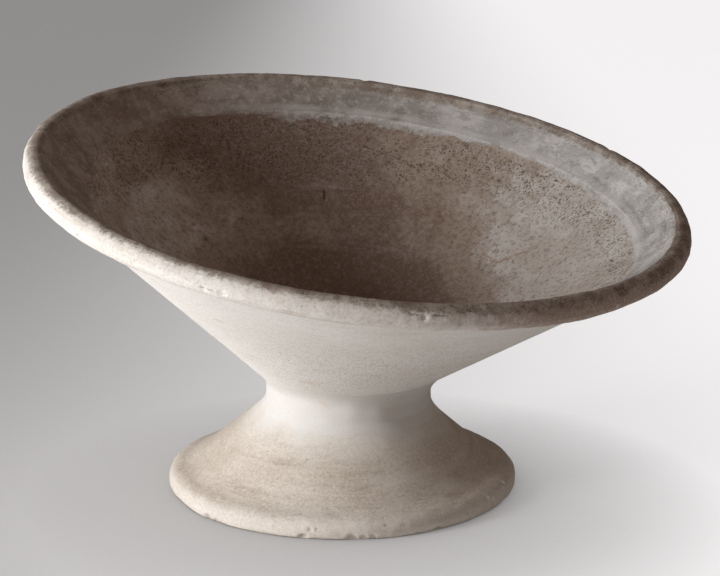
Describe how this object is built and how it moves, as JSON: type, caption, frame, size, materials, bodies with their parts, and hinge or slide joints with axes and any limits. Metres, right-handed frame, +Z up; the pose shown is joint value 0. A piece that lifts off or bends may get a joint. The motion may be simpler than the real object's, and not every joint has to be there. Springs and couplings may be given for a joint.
{
  "type": "concrete bowl planter",
  "caption": "Wide cone-shaped concrete planter bowl with a rolled rim, leaning on a short neck and a flared hollow foot, with a drain hole.",
  "frame": {"origin": "on the ground, under the middle of the bowl's rim", "axes": "+Z up; the bowl leans towards -Y, so its low lip faces -Y and its high lip +Y; +X is to the right seen from the low lip's side; the YZ plane is the mirror plane"},
  "size_m": [0.61, 0.598, 0.3625],
  "materials": {
    "rim_concrete": "matte, hand-brushed, weathered",
    "bowl_concrete": "matte, brushed outside, pitted and soil-stained inside",
    "floor_concrete": "matte, soil-stained",
    "neck_mortar": "matte, smoothed with a wet brush",
    "foot_concrete": "matte, brushed, with warm streaks",
    "hem_concrete": "matte, with small chips along the edge"
  },
  "bodies": {
    "root": {"rim_roll": "rim_concrete", "bowl_shell": "bowl_concrete", "bowl_floor": "floor_concrete", "neck_collar": "neck_mortar", "foot_shell": "foot_concrete", "foot_hem": "hem_concrete"}
  },
  "joints": []
}
